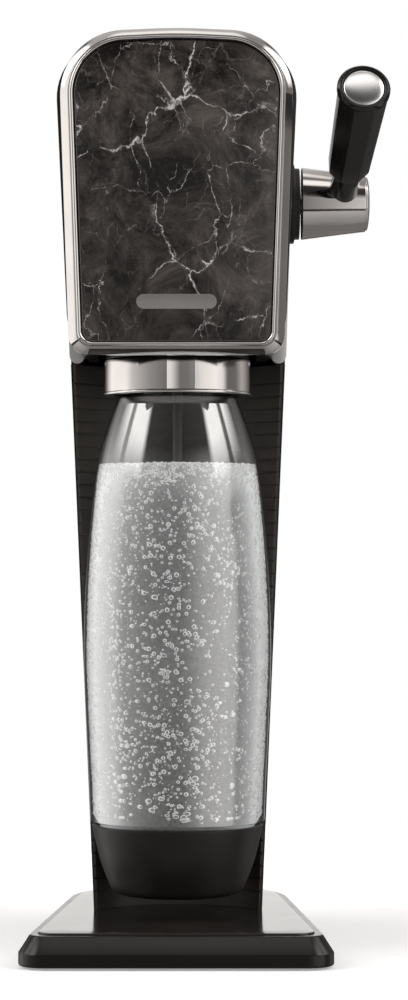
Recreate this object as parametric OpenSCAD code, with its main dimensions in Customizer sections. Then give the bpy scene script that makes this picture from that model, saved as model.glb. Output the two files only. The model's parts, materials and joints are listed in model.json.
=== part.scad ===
// Free-standing soda carbonator: foot, tower with a gas cylinder bay, and a
// chrome-trimmed head with a side lever and a tilting bottle holder.
// Origin at the centre of the base underside, front towards -Y, up is +Z.

/* [Base] */
// Width of the base at its front
base_w = 140; // [136:1:144]
// Depth of the base
base_d = 210; // [206:1:216]
// Radius of the round back of the base
base_rear_r = 58; // [56:1:60]
// Height of the top rim of the base
base_h = 14.6; // [14:0.1:15]
// Height of the upright band at the foot of the base
band_h = 6.8; // [6:0.1:8]
// How far the sloping side of the base leans in
base_slope = 5; // [4:0.5:6]

/* [Tower] */
// Half width of the tower at height zero
tower_half_w = 39.06; // [38.5:0.02:39.5]
// Half width gained per millimetre of height
tower_taper = 0.04227; // [0.041:0.0001:0.043]
// Thickness of the tower, casing and cover walls
wall = 2.4; // [2:0.1:2.8]
// Height at which the tower ends under the head
tower_top = 272.7; // [272:0.1:272.8]
// Spacing of the horizontal grooves in the splash panel
groove_pitch = 6; // [5:0.5:8]

/* [Head] */
// Height of the top of the bezel, the highest point
total_h = 418.7; // [418:0.1:420]
// Height of the bottom edge of the bezel
bezel_bottom = 272.2; // [271.8:0.1:272.4]
// Half width of the bezel at its top edge, before rounding
bezel_half_top = 53.2; // [52.8:0.1:53.6]
// Half width of the bezel at its bottom edge
bezel_half_bottom = 48.2; // [47.8:0.1:48.6]
// Radius of the upper corners of the bezel
bezel_corner = 29; // [28:0.5:30]
// Rise of the crowned top edge above the bezel's corners
crown = 2.2; // [1.8:0.1:2.4]

/* [Bottle] */
// Distance of the bottle axis in front of the origin
bottle_y = 34; // [33.5:0.1:34.5]
// Largest radius of the bottle
bottle_r = 43.3; // [43:0.1:43.5]
// Height of the rim of the bottle neck
neck_top = 289.7; // [289.4:0.1:289.8]
// Height of the water level
water_level = 225; // [180:1:230]

/* [Gas cylinder] */
// Diameter of the gas cylinder
cylinder_d = 60; // [59.5:0.1:60]
// Distance of the cylinder axis behind the origin
cylinder_y = 55; // [55:0.1:55.4]

/* [Lever] */
// Height of the lever shaft
shaft_z = 353.5; // [353.4:0.1:353.6]
// Diameter of the lever shaft
shaft_d = 10; // [9.5:0.1:10]
// Angle of the lever above the horizontal at rest
lever_rise = 23; // [18:1:26]
// Outward lean of the lever
lever_lean = 3.4; // [2:0.1:4]
// Length from the shaft axis to the end of the grip
lever_len = 105; // [100:1:112]
// Offset of the eccentric cam from the shaft axis
cam_throw = 3; // [2.8:0.05:3]

/* [Hidden] */

$fn = 96;
fit = 0.05;                       // radial clearance of a running fit
gap = 0.3;                        // clearance between parts that only pass each other

// colours
black_satin = [0.09, 0.085, 0.08];
black_gloss = [0.05, 0.048, 0.046];
chrome = [0.80, 0.78, 0.77];
steel = [0.62, 0.62, 0.63];
brass = [0.78, 0.62, 0.32];
grey = [0.45, 0.44, 0.43];
rubber = [0.07, 0.07, 0.07];
cylinder_blue = [0.30, 0.42, 0.56];
marble_black = [0.13, 0.12, 0.12];
clear_tint = [0.86, 0.90, 0.92, 0.35];
water_tint = [0.72, 0.78, 0.80, 0.5];

// base
front_corner_r = 12;
rear_centre_y = base_d / 2 - base_rear_r;
foot_gap = 1;                     // the rubber feet lift the base this far
plate_pocket = 2;
plate_inset = 8.6;
plate_top = base_h + 0.8;

// tower
tower_front_y = -10;
cover_split_y = 14;
cover_step_z = 330;               // the cover passes below the lever collar up to here
cover_step_y = 52;
tower_rear_y = 50;                // centre of the round back
channel_r_low = 47;
channel_low_z = 24.6;
channel_r_high = 55.8;
channel_high_z = 273;
channel_slope = (channel_r_high - channel_r_low) / (channel_high_z - channel_low_z);
panel_t = 1.2;
groove_w = 1;
groove_depth = 0.7;

// head
bezel_front_y = -82;
bezel_back_y = -74;
panel_front_y = -81;
marble_half_top = 46.1;
marble_half_bottom = 41.35;
marble_top = 412.6;
marble_bottom = 278.6;
marble_corner = 22.5;
marble_low_corner = 4.5;
crown_r = 250;                    // blend at the middle of the crowned edge
crown_loss = 0.25;                // height that the blend takes off the peak
casing_top = 416;
casing_corner = 28;
band_front_y = -14;
band_back_y = -6;
band_inner = 44;
cover_top = 368;
head_tilt_slot = 36.5;

// chassis
cheek_out = band_inner;
cheek_in = 41;
deck_z = 318;
deck_t = 3;
cheek_low = 276;
cheek_high = 384;
cheek_rear = 66;
web_x = -14;
web_t = 3;

// lever and cam
shaft_y = 30;
shaft_r = shaft_d / 2;
cam_r = 11;
cam_half_angle = 25;              // half of the lever's stroke
cam_w = 12;
hub_x = 59.2;
hub_end = 90.6;
hub_r = 17.8;
hub_r_end = 13.7;
lever_x = 79;
collar_seat_x = 52.6;
collar_r = 19.2;
grip_start = 34;
neck_r = 7;
grip_r_start = 10.3;
grip_r_end = 12.2;

// pusher
cam_low_z = shaft_z - cam_r + cam_throw * sin(cam_half_angle);
yoke_top = cam_low_z - gap;
yoke_t = 5;
yoke_arm_in = 16;
yoke_arm_out = 20;
yoke_front_y = 11;
yoke_spring_y = 18;
guide_x = 13;
guide_r = 2;
crossbar_z = 371;
crossbar_t = 5;

// gas system
cylinder_r = cylinder_d / 2;
cylinder_low = plate_top + 2;
cylinder_shoulder = 300;
cylinder_neck_z = 334;
valve_r = 10.5;
valve_top = 362;
pin_top = 368;
pin_r = 2;
block_low = 346;
block_r = 15;
bracket_y = 41.5;
bracket_t = 5;
hose_x = -28;
hose_r = 3;
hose_bend = 16;
hose_z = 354.5;

// holder
pivot_y = -4;
pivot_z = 285;
pivot_r = 3;
arm_in = 34.6;
arm_out = 38.6;
ring_r = 34.2;
ring_in = 29.6;
ring_low = 256.2;
ring_high = 272.8;
clip_turn = 2.8;
clip_half = 10.4;
carrier_low = 294;

// bottle
bottle_low = 25.8;
cup_top_z = 58.5;
bottle_wall = 1.6;

// clamp
handle_y = 56;
handle_z = 352;
handle_r = 5.5;
handle_in = 22;
handle_out = 25;
handle_reach = 34;

// ---------- helpers ----------

function unit(v) = v / norm(v);

function arc(c, r, from, to, steps) =
    [for (i = [0:steps]) c + r * [cos(from + (to - from) * i / steps), sin(from + (to - from) * i / steps)]];

// one rounded corner of an outline, between its neighbours p and n
function corner(p, c, n, r, steps) =
    let (u = unit(p - c), v = unit(n - c), half = acos(u * v) / 2)
    let (m = c + unit(u + v) * r / sin(half), s = c + u * r / tan(half), t = c + v * r / tan(half))
    let (from = atan2(s.y - m.y, s.x - m.x), to = atan2(t.y - m.y, t.x - m.x))
    arc(m, r, from, from + (to - from + 900) % 360 - 180, steps);

function rounded(points, radii, steps = 8) =
    let (count = len(points))
    [for (i = [0:count - 1])
        each corner(points[(i + count - 1) % count], points[i], points[(i + 1) % count], radii[i], steps)];

// a smooth curve through every point (Catmull-Rom)
function spline_point(p0, p1, p2, p3, t) =
    0.5 * (2 * p1 + (p2 - p0) * t + (2 * p0 - 5 * p1 + 4 * p2 - p3) * t * t
        + (3 * p1 - p0 - 3 * p2 + p3) * t * t * t);

function smooth(points, steps = 5) =
    let (last = len(points) - 1)
    concat(
        [for (i = [0:last - 1], j = [0:steps - 1])
            spline_point(points[max(i - 1, 0)], points[i], points[i + 1], points[min(i + 2, last)], j / steps)],
        [points[last]]);

function tower_w(z) = tower_half_w + tower_taper * z;

// cylinder along +X from x0 to x1, centred on y and z
module rod_x(x0, x1, y, z, r) {
    translate([x0, y, z]) rotate([0, 90, 0]) cylinder(h = x1 - x0, r = r);
}

// an outline drawn in X and Z, made solid between two Y planes
module slab_y(y0, y1) {
    translate([0, y1, 0]) rotate([90, 0, 0]) linear_extrude(y1 - y0) children();
}

module ring(outer, inner, z0, z1) {
    translate([0, 0, z0]) difference() {
        cylinder(h = z1 - z0, r = outer);
        translate([0, 0, -1]) cylinder(h = z1 - z0 + 2, r = inner);
    }
}

module box(x0, x1, y0, y1, z0, z1) {
    translate([x0, y0, z0]) cube([x1 - x0, y1 - y0, z1 - z0]);
}

module both_sides() {
    children();
    mirror([1, 0, 0]) children();
}

module on_bottle_axis() {
    translate([0, -bottle_y, 0]) children();
}

module on_cylinder_axis() {
    translate([0, cylinder_y, 0]) children();
}

// ---------- base ----------

function base_outline(inset) =
    let (cx = base_w / 2 - front_corner_r, cy = -base_d / 2 + front_corner_r)
    let (run = [cx, cy - rear_centre_y])
    let (t = atan2(run.y, run.x) + acos((base_rear_r - front_corner_r) / norm(run)))
    concat(
        arc([cx, cy], front_corner_r - inset, -90, t, 8),
        arc([0, rear_centre_y], base_rear_r - inset, t, 180 - t, 32),
        arc([-cx, cy], front_corner_r - inset, 180 - t, 270, 8));

module base_layer(inset, z0, z1) {
    translate([0, 0, z0]) linear_extrude(z1 - z0) polygon(base_outline(inset));
}

function foot_places() = [[52, -86], [-52, -86], [38, 70], [-38, 70], [0, 0]];
function boss_places() = [[34, -88], [-34, -88], [22, 84], [-22, 84]];

module base_shell() {
    color(black_satin) difference() {
        union() {
            base_layer(0, foot_gap, band_h);
            hull() {
                base_layer(0, band_h - 0.1, band_h);
                base_layer(base_slope, base_h - 0.1, base_h);
            }
        }
        base_layer(plate_inset, base_h - plate_pocket, base_h + 1);
        difference() {
            base_layer(6, 0, base_h - plate_pocket - wall);
            for (p = boss_places()) translate([p.x, p.y, 3]) cylinder(h = 20, r = 5);
        }
        base_layer(4, 0, 3);
        for (p = boss_places()) translate([p.x, p.y, 0]) cylinder(h = 9, r = 1.5);
    }
}

module base_cover() {
    color(black_satin) difference() {
        base_layer(4.2, foot_gap, 3);
        for (p = boss_places()) {
            translate([p.x, p.y, 0]) cylinder(h = 2.2, r = 3.2);
            translate([p.x, p.y, 0]) cylinder(h = 5, r = 1.6);
        }
        for (p = foot_places()) translate([p.x, p.y, 0]) cylinder(h = 2, r = 8);
    }
}

module rubber_feet() {
    color(rubber) for (p = foot_places()) translate([p.x, p.y, 0]) {
        cylinder(h = 2, r = 8);
    }
}

module base_screws() {
    color(steel) for (p = boss_places()) translate([p.x, p.y, 0]) {
        translate([0, 0, 1]) cylinder(h = 1.2, r = 2.8);
        translate([0, 0, 1]) cylinder(h = 7.6, r = 1.5);
    }
}

module drip_plate() {
    color(black_gloss) base_layer(plate_inset + 0.3, base_h - plate_pocket, plate_top);
}

// ---------- tower ----------

// the tapering tower from height z0 to z1, its walls moved in by inset
module tower_block(inset, z0, z1) {
    low = tower_w(z0) - inset;
    high = tower_w(z1) - inset;
    slab_y(tower_front_y, tower_rear_y) polygon([[-low, z0], [low, z0], [high, z1], [-high, z1]]);
    translate([0, tower_rear_y, z0]) cylinder(h = z1 - z0, r1 = low, r2 = high);
}

// where the rear cover takes over from the tower and the casing
module cover_zone(spare) {
    box(-80, 80, cover_split_y + spare, 130, 0, cover_step_z - spare);
    box(-80, 80, cover_step_y + spare, 130, cover_step_z - 10, cover_top - spare);
}

module channel_cone(grow, z0, z1) {
    on_bottle_axis() translate([0, 0, z0]) cylinder(
        h = z1 - z0,
        r1 = channel_r_low + (z0 - channel_low_z) * channel_slope + grow,
        r2 = channel_r_low + (z1 - channel_low_z) * channel_slope + grow);
}

module tower_shell() {
    color(black_satin) difference() {
        union() {
            intersection() {
                tower_block(0, plate_top, tower_top);
                box(-80, 80, tower_front_y, cover_split_y, 0, 400);
            }
            intersection() {
                channel_cone(wall, plate_top, tower_top);
                box(-30, 30, tower_front_y, 40, 0, 400);
            }
        }
        channel_cone(0, plate_top - 1, tower_top + 1);
        difference() {
            intersection() {
                tower_block(wall, plate_top - 1, tower_top + 1);
                box(-80, 80, tower_front_y + wall, 60, 0, 400);
            }
            channel_cone(wall, plate_top - 1, tower_top + 1);
        }
    }
}

// grooved liner of the channel, cut to the width of the tower front
module splash_panel() {
    z0 = plate_top;
    z1 = tower_top;
    grooves = floor((z1 - z0 - 8) / groove_pitch);
    function liner_r(z) = channel_r_low + (z - channel_low_z) * channel_slope;
    inner = [for (i = [0:grooves - 1])
        let (z = z0 + 8 + i * groove_pitch, r = liner_r(z) - panel_t)
        each [[r, z], [r + groove_depth, z + 0.1], [r + groove_depth, z + groove_w - 0.1], [r, z + groove_w]]];
    color(black_satin) intersection() {
        on_bottle_axis() rotate_extrude() polygon(concat(
            [[liner_r(z0), z0], [liner_r(z0) - panel_t, z0]],
            inner,
            [[liner_r(z1) - panel_t, z1], [liner_r(z1), z1]]));
        box(-80, 80, tower_front_y + 1, 40, 0, 400);
    }
}

module rear_cover() {
    color(black_satin) difference() {
        intersection() {
            tower_block(0, plate_top + gap, cover_top - gap);
            cover_zone(gap);
        }
        tower_block(wall, plate_top - 1, cover_top + 1);
        box(-button_w / 2 - gap, button_w / 2 + gap, 80, 120, button_low - gap, button_high + gap);
    }
}

button_w = 24;
button_low = 304;
button_high = 322;

module cover_button() {
    color(black_gloss) difference() {
        intersection() {
            tower_block(-0.8, button_low, button_high);
            box(-button_w / 2, button_w / 2, 96, 120, button_low, button_high);
        }
        box(-button_w / 2 + 2, button_w / 2 - 2, 80, 99.5, button_low + 2, button_high - 2);
    }
}

// ---------- head ----------

// head outline in X and Z, inset from the bezel's own outline
function bezel_outline(inset) =
    let (low = bezel_bottom + inset, shoulder = total_h - crown - inset, peak = total_h + crown_loss - inset)
    rounded(
        [[-bezel_half_bottom + inset, low], [bezel_half_bottom - inset, low],
         [bezel_half_top - inset, shoulder], [0, peak], [-bezel_half_top + inset, shoulder]],
        [9 - inset / 2, 9 - inset / 2, bezel_corner - inset, crown_r, bezel_corner - inset], 12);

function marble_outline(grow) =
    let (low = marble_bottom - grow, shoulder = marble_top - crown + grow, peak = marble_top + crown_loss + grow)
    rounded(
        [[-marble_half_bottom - grow, low], [marble_half_bottom + grow, low],
         [marble_half_top + grow, shoulder], [0, peak], [-marble_half_top - grow, shoulder]],
        [marble_low_corner + grow, marble_low_corner + grow, marble_corner + grow, crown_r,
         marble_corner + grow], 12);

// casing outline in X and Z; its lower end is cut square at height z0
function casing_outline(inset, z0) =
    let (top = casing_top - inset, low = tower_w(z0) - inset, high = tower_w(casing_top) - inset - 1.5)
    let (turn = casing_corner - inset)
    concat(
        [[-low, z0], [low, z0]],
        corner([low, z0], [high, top], [-high, top], turn, 12),
        corner([high, top], [-high, top], [-low, z0], turn, 12));

// the right half of that outline, closed along the middle
function casing_half(inset, z0) = concat(
    [[0, z0]],
    [for (p = casing_outline(inset, z0)) if (p.x > 0) p],
    [[0, casing_top - inset]]);

module bezel() {
    color(chrome) difference() {
        union() {
            hull() {
                slab_y(bezel_front_y + 0.8, bezel_front_y + 0.9) polygon(bezel_outline(4));
                slab_y(bezel_front_y + 4.5, bezel_front_y + 4.6) polygon(bezel_outline(0));
            }
            slab_y(bezel_front_y + 4.5, bezel_back_y) polygon(bezel_outline(0));
            slab_y(bezel_front_y, bezel_front_y + 2) polygon(marble_outline(3.2));
        }
        slab_y(bezel_front_y - 1, panel_front_y + 3) polygon(marble_outline(1.1));
        slab_y(bezel_front_y - 1, bezel_back_y + 1) polygon(marble_outline(-3));
    }
}

module front_panel() {
    color(marble_black) slab_y(panel_front_y, panel_front_y + 3) polygon(marble_outline(0));
}

module badge() {
    badge_z = 295.7;
    badge_w = 36;
    badge_h = 6.7;
    color(grey) slab_y(panel_front_y - 0.6, panel_front_y) hull() {
        for (side = [-1, 1]) translate([side * (badge_w - badge_h) / 2, badge_z]) circle(d = badge_h, $fn = 32);
    }
}

// front part of the head, from the bezel back to the chrome side band
module head_shell() {
    front_y = bezel_back_y;
    color(black_gloss) difference() {
        slab_y(front_y, band_front_y) polygon(casing_outline(1.5, cheek_low - 2.7));
        slab_y(front_y + 2, band_front_y + 1) polygon(casing_outline(1.5 + wall, cheek_low - 8));
        box(-head_tilt_slot, head_tilt_slot, front_y + 0.6, 0, 260, 300);
    }
}

module head_underplate() {
    low = cheek_low - 2.7;
    half = tower_w(low) - 1.5 - wall - 0.1;
    color(black_satin) difference() {
        box(-half, half, bezel_back_y + 2, band_front_y, low, low + 2);
        box(-head_tilt_slot, head_tilt_slot, -90, 0, low - 1, low + 3);
    }
}

// chrome arch between the front part of the head and the casing
module side_band() {
    low = tower_top + 0.2;
    leg = (tower_w(low) + 0.3 - band_inner) / 2;
    color(chrome) difference() {
        slab_y(band_front_y, band_back_y) union() {
            difference() {
                polygon(casing_outline(-0.3, low + leg));
                polygon(rounded([[-band_inner, 260], [band_inner, 260], [band_inner, 410], [-band_inner, 410]],
                    [1, 1, 20, 20], 8));
            }
            for (side = [-1, 1]) translate([side * (band_inner + leg), low + leg]) circle(r = leg);
        }
    }
}

module head_casing() {
    low = tower_top + gap;
    color(black_satin) difference() {
        casing_solid(0, low, band_back_y);
        casing_solid(wall, low - 5, band_back_y - 1);
        cover_zone(0);
        rod_x(collar_seat_x, 80, shaft_y, shaft_z, collar_r + 0.2);
        rod_x(40, 80, shaft_y, shaft_z, 8);
    }
}

// casing from the plane y0 to its round back
module casing_solid(inset, z0, y0) {
    slab_y(y0, tower_rear_y) polygon(casing_outline(inset, z0));
    translate([0, tower_rear_y, 0]) rotate_extrude() polygon(casing_half(inset, z0));
}

// ---------- chassis ----------

module chassis() {
    color(grey) difference() {
        union() {
            both_sides() {
                box(cheek_in, cheek_out, -12, cheek_rear, cheek_low, cheek_high);
                box(cheek_in - 2, cheek_out, -12, 4, cheek_low, deck_z);
            }
            box(-cheek_in, cheek_in, -12, 23, deck_z, deck_z + deck_t);
            box(-cheek_in, cheek_in, -12, -8, deck_z, cheek_high);
            box(web_x, web_x + web_t, -12, bracket_y - 0.5, 346, cheek_high);
            box(web_x, web_x + web_t, -12, 10, deck_z, cheek_high);
        }
        both_sides() {
            rod_x(20, 60, pivot_y, pivot_z, pivot_r);
            rod_x(20, 60, handle_y, handle_z, pivot_r);
            box(cheek_in - 1, cheek_out + 1, 8, 60, cheek_low - 1, 322);
        }
        rod_x(30, 60, shaft_y, shaft_z, shaft_r + 2);
        rod_x(web_x - 1, web_x + web_t + 1, shaft_y, shaft_z, shaft_r + 2);
        translate([hose_x, pivot_y, deck_z - 1]) cylinder(h = deck_t + 2, r = hose_r + 0.5);
        for (side = [-1, 1]) translate([side * guide_x, yoke_spring_y, deck_z - 1]) {
            cylinder(h = deck_t + 2, r = guide_r);
        }
        for (p = screw_places()) translate([p.x, -20, p.y]) rotate([-90, 0, 0]) cylinder(h = 20, r = 1.5);
    }
}

function screw_places() = [for (x = [-22, 22], z = [335, 375]) [x, z]];

// screws through the front wall of the chassis
module chassis_screws() {
    color(steel) for (p = screw_places()) translate([p.x, -12, p.y]) rotate([-90, 0, 0]) {
        translate([0, 0, -2]) cylinder(h = 2, r = 3);
        cylinder(h = 8, r = 1.5);
    }
}

module shaft_bushes() {
    color(steel) difference() {
        union() {
            rod_x(cheek_in, cheek_out + 1.5, shaft_y, shaft_z, shaft_r + 2);
            rod_x(cheek_out, cheek_out + 1.5, shaft_y, shaft_z, shaft_r + 3);
            rod_x(web_x - 1.5, web_x + web_t, shaft_y, shaft_z, shaft_r + 2);
            rod_x(web_x - 1.5, web_x, shaft_y, shaft_z, shaft_r + 3);
        }
        rod_x(-30, 60, shaft_y, shaft_z, shaft_r + fit);
    }
}

module guide_pins() {
    color(steel) for (side = [-1, 1]) translate([side * guide_x, yoke_spring_y, deck_z]) {
        cylinder(h = 27, r = guide_r);
    }
}

module pivot_pins() {
    color(steel) {
        rod_x(arm_in - 1, cheek_out, pivot_y, pivot_z, pivot_r);
        rod_x(-cheek_out, -24, pivot_y, pivot_z, pivot_r);
    }
}

module handle_pins() {
    color(steel) both_sides() rod_x(handle_in - 0.6, cheek_out, handle_y, handle_z, pivot_r);
}

// ---------- lever ----------

module lever_collar() {
    color(rubber) difference() {
        union() {
            rod_x(collar_seat_x, 56, shaft_y, shaft_z, collar_r);
            rod_x(56, 58.6, shaft_y, shaft_z, collar_r - 2);
        }
        rod_x(50, 60, shaft_y, shaft_z, shaft_r + 0.6);
    }
}

module lever_shaft() {
    color(steel) difference() {
        rod_x(-20, hub_x + 10, shaft_y, shaft_z, shaft_r);
        difference() {
            rod_x(-18, -17, shaft_y, shaft_z, shaft_r + 1);
            rod_x(-18.5, -16.5, shaft_y, shaft_z, shaft_r - 1);
        }
    }
}

module retaining_clip() {
    color(steel) difference() {
        rod_x(-18, -17, shaft_y, shaft_z, shaft_r + 2.5);
        rod_x(-19, -16, shaft_y, shaft_z, shaft_r - 1);
        box(-19, -16, shaft_y - 3, shaft_y + 3, shaft_z - 20, shaft_z);
    }
}

module lever_hub() {
    color(chrome) difference() {
        translate([hub_x, shaft_y, shaft_z]) rotate([0, 90, 0]) cylinder(
            h = hub_end - hub_x, r1 = hub_r, r2 = hub_r_end);
        rod_x(hub_x - 1, hub_x + 10, shaft_y, shaft_z, shaft_r);
        along_lever() cylinder(h = 60, r = 4);
    }
}

// shallow dome that closes the end of the hub
module hub_cap() {
    rim = hub_r_end - 0.6;
    rise = 2.2;
    dome = (rim * rim + rise * rise) / (2 * rise);
    color(chrome) intersection() {
        translate([hub_end + rise - dome, shaft_y, shaft_z]) sphere(r = dome, $fn = 128);
        rod_x(hub_end, hub_end + 10, shaft_y, shaft_z, rim);
    }
}

module along_lever() {
    translate([lever_x, shaft_y, shaft_z]) rotate([90 - lever_rise, 0, lever_lean]) children();
}

module lever_neck() {
    color(black_gloss) difference() {
        along_lever() {
            translate([0, 0, 5]) cylinder(h = grip_start + 4, r = 4);
            translate([0, 0, 10]) cylinder(h = grip_start - 10, r = neck_r);
        }
        difference() {
            translate([hub_x, shaft_y, shaft_z]) rotate([0, 90, 0]) cylinder(
                h = hub_end - hub_x, r1 = hub_r, r2 = hub_r_end);
            along_lever() cylinder(h = 60, r = 4);
        }
    }
}

module lever_grip() {
    color(black_gloss) along_lever() difference() {
        union() {
            translate([0, 0, grip_start]) rotate([0, 0, 22.5]) cylinder(
                h = lever_len - 3 - grip_start, r1 = grip_r_start, r2 = grip_r_end - 0.3, $fn = 8);
            translate([0, 0, lever_len - 4]) cylinder(h = 3, r = grip_r_end);
        }
        translate([0, 0, lever_len - 2.5]) cylinder(h = 5, r = 9.4);
        translate([0, 0, grip_start - 1]) cylinder(h = 11, r = 4);
    }
}

module grip_cap() {
    rise = 1.8;
    rim = 9.4;
    dome = (rim * rim + rise * rise) / (2 * rise);
    color(chrome) along_lever() {
        translate([0, 0, lever_len - 2.5]) cylinder(h = 0.7, r = rim);
        intersection() {
            translate([0, 0, lever_len - 1.8 + rise - dome]) sphere(r = dome, $fn = 128);
            translate([0, 0, lever_len - 1.8]) cylinder(h = 10, r = rim);
        }
    }
}

module cam() {
    color(steel) difference() {
        rod_x(-cam_w / 2, cam_w / 2, shaft_y - cam_throw * cos(cam_half_angle),
            shaft_z + cam_throw * sin(cam_half_angle), cam_r);
        rod_x(-cam_w, cam_w, shaft_y, shaft_z, shaft_r);
    }
}

// ---------- pusher ----------

module pusher_yoke() {
    color(steel) difference() {
        union() {
            box(-yoke_arm_out, yoke_arm_out, yoke_front_y, 39, yoke_top - yoke_t, yoke_top);
            both_sides() {
                box(yoke_arm_in, yoke_arm_out, 30, 62, yoke_top - yoke_t, yoke_top);
                box(yoke_arm_in, yoke_arm_out, 48, 62, yoke_top - yoke_t, crossbar_z + crossbar_t);
            }
            box(-yoke_arm_out, yoke_arm_out, 50, 60, crossbar_z, crossbar_z + crossbar_t);
        }
        for (side = [-1, 1]) translate([side * guide_x, yoke_spring_y, yoke_top - 20]) {
            cylinder(h = 40, r = guide_r + fit);
        }
    }
}

module valve_pin() {
    color(brass) on_cylinder_axis() {
        translate([0, 0, 352]) cylinder(h = pin_top - 352, r = pin_r);
        translate([0, 0, pin_top]) cylinder(h = crossbar_z - pin_top, r = 4);
    }
}

// open coil spring between the deck and the yoke
module pusher_spring() {
    wire = 0.6;
    coil_r = 5;
    turns = 5;
    low = deck_z + deck_t + wire;
    high = yoke_top - yoke_t - wire;
    sides = 8;
    per_turn = 20;
    rings = turns * per_turn;
    points = [for (i = [0:rings], j = [0:sides - 1])
        let (a = 360 * i / per_turn, b = 360 * j / sides)
        let (r = coil_r + wire * cos(b))
        [r * cos(a), r * sin(a), low + (high - low) * i / rings + wire * sin(b)]];
    faces = concat(
        [[for (j = [0:sides - 1]) j]],
        [for (i = [0:rings - 1], j = [0:sides - 1])
            [i * sides + j, (i + 1) * sides + j, (i + 1) * sides + (j + 1) % sides, i * sides + (j + 1) % sides]],
        [[for (j = [0:sides - 1]) rings * sides + sides - 1 - j]]);
    color(steel) translate([0, yoke_spring_y, 0]) polyhedron(points, faces, convexity = 10);
}

// ---------- gas system ----------

module gas_cylinder() {
    foot_r = 4;
    color(cylinder_blue) on_cylinder_axis() rotate_extrude() polygon(concat(
        [[0, cylinder_low]],
        arc([cylinder_r - foot_r, cylinder_low + foot_r], foot_r, -90, 0, 6),
        smooth([[cylinder_r, cylinder_shoulder], [28.4, 311], [23.5, 321], [16.5, 329], [10, cylinder_neck_z]], 4),
        [[0, cylinder_neck_z]]));
}

module cylinder_valve() {
    color(brass) on_cylinder_axis() difference() {
        union() {
            translate([0, 0, cylinder_neck_z]) cylinder(h = 6, r = 9);
            translate([0, 0, cylinder_neck_z + 6]) cylinder(h = valve_top - cylinder_neck_z - 6, r = valve_r);
        }
        translate([0, 0, 348]) cylinder(h = 30, r = pin_r + fit);
    }
}

module cylinder_seat() {
    color(rubber) on_cylinder_axis() translate([0, 0, plate_top]) {
        cylinder(h = cylinder_low - plate_top, r = 25);
    }
}

module valve_block() {
    color(brass) difference() {
        union() {
            on_cylinder_axis() translate([0, 0, block_low]) cylinder(h = valve_top - block_low, r = block_r);
            box(-cheek_in, cheek_in, bracket_y, bracket_y + bracket_t, 349, 360);
        }
        on_cylinder_axis() translate([0, 0, block_low - 1]) cylinder(h = 30, r = valve_r + fit);
    }
}

module relief_valve() {
    color(brass) translate([-36, bracket_y + bracket_t / 2, 360]) {
        cylinder(h = 4, r = 2.2);
        translate([0, 0, 4]) cylinder(h = 6, r = 4, $fn = 6);
    }
}

module hose_fitting() {
    color(brass) translate([hose_x, bracket_y, hose_z]) rotate([90, 0, 0]) {
        cylinder(h = 4, r = 5, $fn = 6);
    }
}

module gas_hose() {
    bend_y = pivot_y + hose_bend;
    bend_z = hose_z - hose_bend;
    color(rubber) {
        translate([hose_x, bracket_y - 4, hose_z]) rotate([90, 0, 0]) cylinder(
            h = bracket_y - 4 - bend_y, r = hose_r);
        translate([hose_x, bend_y, bend_z]) rotate([180, -90, 0]) rotate_extrude(angle = 90) {
            translate([hose_bend, 0]) circle(r = hose_r, $fn = 32);
        }
        translate([hose_x, pivot_y, pivot_z + 6]) cylinder(h = bend_z - pivot_z - 6, r = hose_r);
    }
}

// fixed gas inlet round the left pivot pin
module pivot_banjo() {
    color(brass) difference() {
        union() {
            rod_x(hose_x - 3, hose_x + 3, pivot_y, pivot_z, 5.5);
            translate([hose_x, pivot_y, pivot_z]) cylinder(h = 6, r = hose_r);
        }
        rod_x(hose_x - 5, hose_x + 5, pivot_y, pivot_z, pivot_r);
    }
}

module clamp_handle() {
    color(cylinder_blue) difference() {
        union() {
            both_sides() {
                rod_x(handle_in, handle_out, handle_y, handle_z, handle_r);
                box(handle_in, handle_out, handle_y, handle_y + handle_reach, handle_z - 3, handle_z + 3);
            }
            box(-handle_out, handle_out, handle_y + handle_reach - 8, handle_y + handle_reach,
                handle_z - 3, handle_z + 3);
        }
        rod_x(-40, 40, handle_y, handle_z, pivot_r + fit);
    }
}

module clamp_collar() {
    color(grey) on_cylinder_axis() ring(block_r - 0.5, valve_r + fit, 339.6, 344.6);
}

// ---------- bottle holder ----------

module ring_band() {
    ring(ring_r, ring_in + 1.5, ring_low + 1.2, ring_high);
    ring(ring_r + 0.5, ring_in, ring_low, ring_low + 1.2);
}

// the wedge of the ring that the front clip takes
module clip_wedge(spare) {
    half = clip_half + spare;
    rotate([0, 0, clip_turn]) translate([0, 0, ring_low + 1.2]) linear_extrude(40) polygon([
        [0, 0], 60 * [-sin(half), -cos(half)], 60 * [sin(half), -cos(half)]]);
}

module holder_ring() {
    color(chrome) on_bottle_axis() difference() {
        ring_band();
        clip_wedge(0.4);
    }
}

module ring_clip() {
    color(chrome) on_bottle_axis() intersection() {
        ring(ring_r + 0.15, ring_in + 1.5, ring_low + 1.2, ring_high);
        clip_wedge(0);
    }
}

module holder_frame() {
    color(black_satin) difference() {
        union() {
            on_bottle_axis() ring(ring_in + 1.5, ring_in, ring_low + 1.2, ring_high);
            on_bottle_axis() ring(ring_r - 1, ring_in, ring_high, carrier_low);
            both_sides() {
                box(arm_in - 2.5, arm_out, -bottle_y, -20, 280, 290);
                box(arm_in, arm_out, -bottle_y, pivot_y, 280, 290);
                rod_x(arm_in, arm_out, pivot_y, pivot_z, 5);
            }
        }
        on_bottle_axis() translate([0, 0, 250]) cylinder(h = 60, r = ring_in);
        rod_x(-60, 60, pivot_y, pivot_z, pivot_r + fit);
    }
}

module nozzle_carrier() {
    color(black_satin) on_bottle_axis() difference() {
        translate([0, 0, carrier_low]) cylinder(h = 8, r = ring_r - 1);
        translate([0, 0, carrier_low - 1]) cylinder(h = 20, r = 6);
    }
}

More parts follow.
